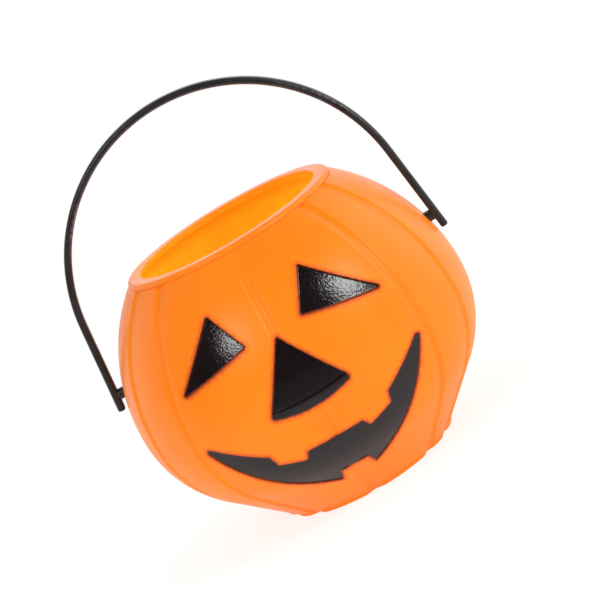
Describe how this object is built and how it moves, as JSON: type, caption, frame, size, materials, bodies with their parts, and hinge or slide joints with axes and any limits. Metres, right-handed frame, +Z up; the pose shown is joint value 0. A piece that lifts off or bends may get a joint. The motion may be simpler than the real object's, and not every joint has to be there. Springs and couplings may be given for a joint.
{
  "type": "pumpkin candy pail",
  "caption": "Small round moulded pumpkin pail with soft ribs, a flat lip, a recessed painted jack-o'-lantern face and a thin arched bail that swings on snap-in pegs.",
  "frame": {"origin": "middle of the foot, on the surface that the pail stands on", "axes": "+Z up out of the mouth, -Y out of the face, +X to the right of someone who looks at the face"},
  "size_m": [0.0676, 0.0651, 0.0761],
  "materials": {
    "orange_shell": "smooth semi-gloss moulded polyethylene, very slightly translucent",
    "black_bail": "satin moulded polyethylene",
    "face_paint": "glossy sprayed paint with a light orange-peel"
  },
  "bodies": {
    "pail": {"pail_body": "orange_shell", "left_eye_paint": "face_paint", "right_eye_paint": "face_paint", "nose_paint": "face_paint", "mouth_paint": "face_paint"},
    "bail": {"bail_handle": "black_bail"}
  },
  "joints": [
    {"name": "bail_swing", "type": "hinge", "parent": "pail", "child": "bail", "pos_m": [0, 0, 0.0339], "axis": [1, 0, 0], "range_deg": [-105, 105]}
  ]
}
